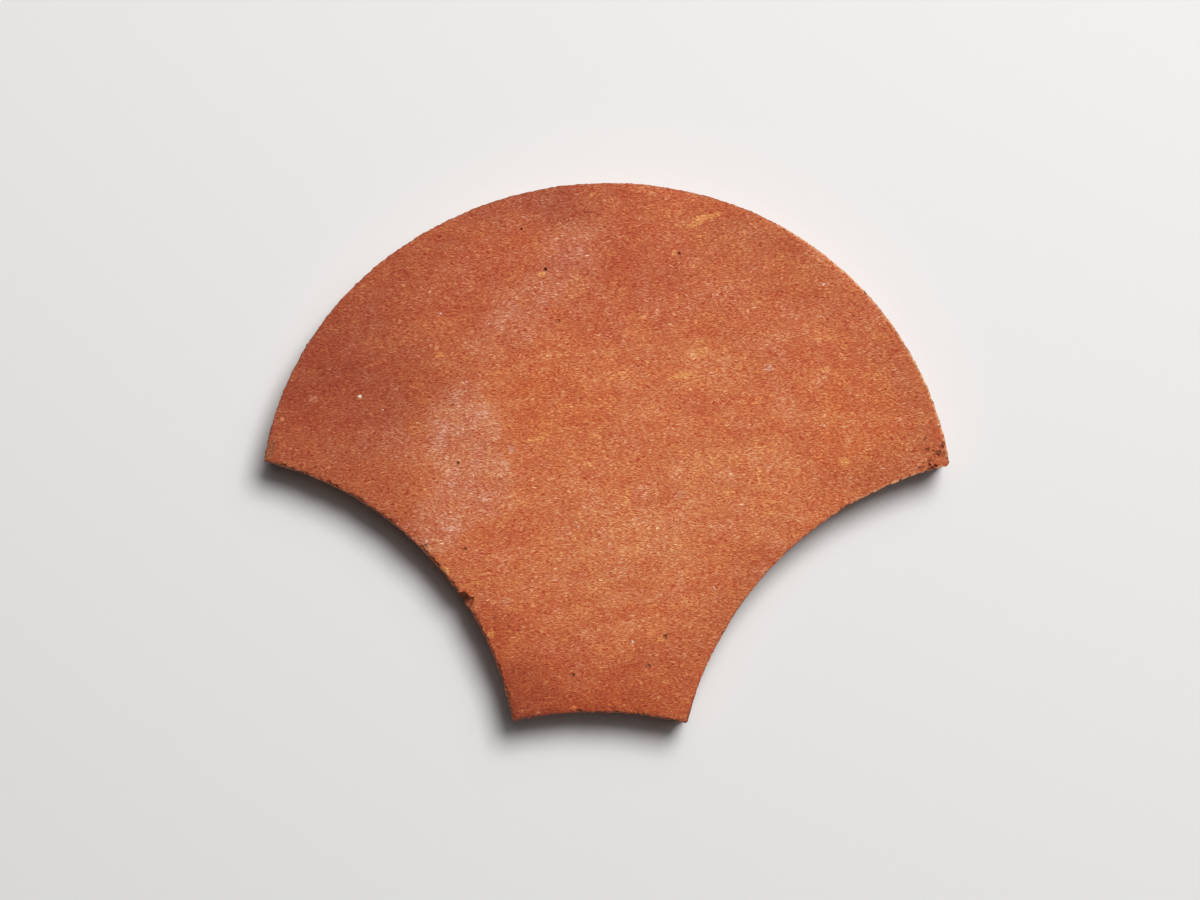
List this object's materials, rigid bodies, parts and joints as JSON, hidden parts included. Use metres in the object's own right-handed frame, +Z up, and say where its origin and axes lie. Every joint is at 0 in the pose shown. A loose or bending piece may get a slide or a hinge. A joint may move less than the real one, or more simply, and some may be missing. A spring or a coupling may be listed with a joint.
{
  "type": "scalloped terracotta tile",
  "caption": "Fish-scale terracotta tile: a flat fired clay slab with a round head, two horns, hollow flanks and a narrow hollow foot, which nests with its neighbours.",
  "frame": {"origin": "below the middle of the outline's bounding box, on the plane that the back rests on", "axes": "+X from the left horn to the right horn, +Y from the foot to the crown of the head, +Z up out of the face"},
  "size_m": [0.1994, 0.157, 0.016],
  "materials": {
    "terracotta": "matte"
  },
  "bodies": {
    "root": {"scallop_tile": "terracotta"}
  },
  "joints": []
}
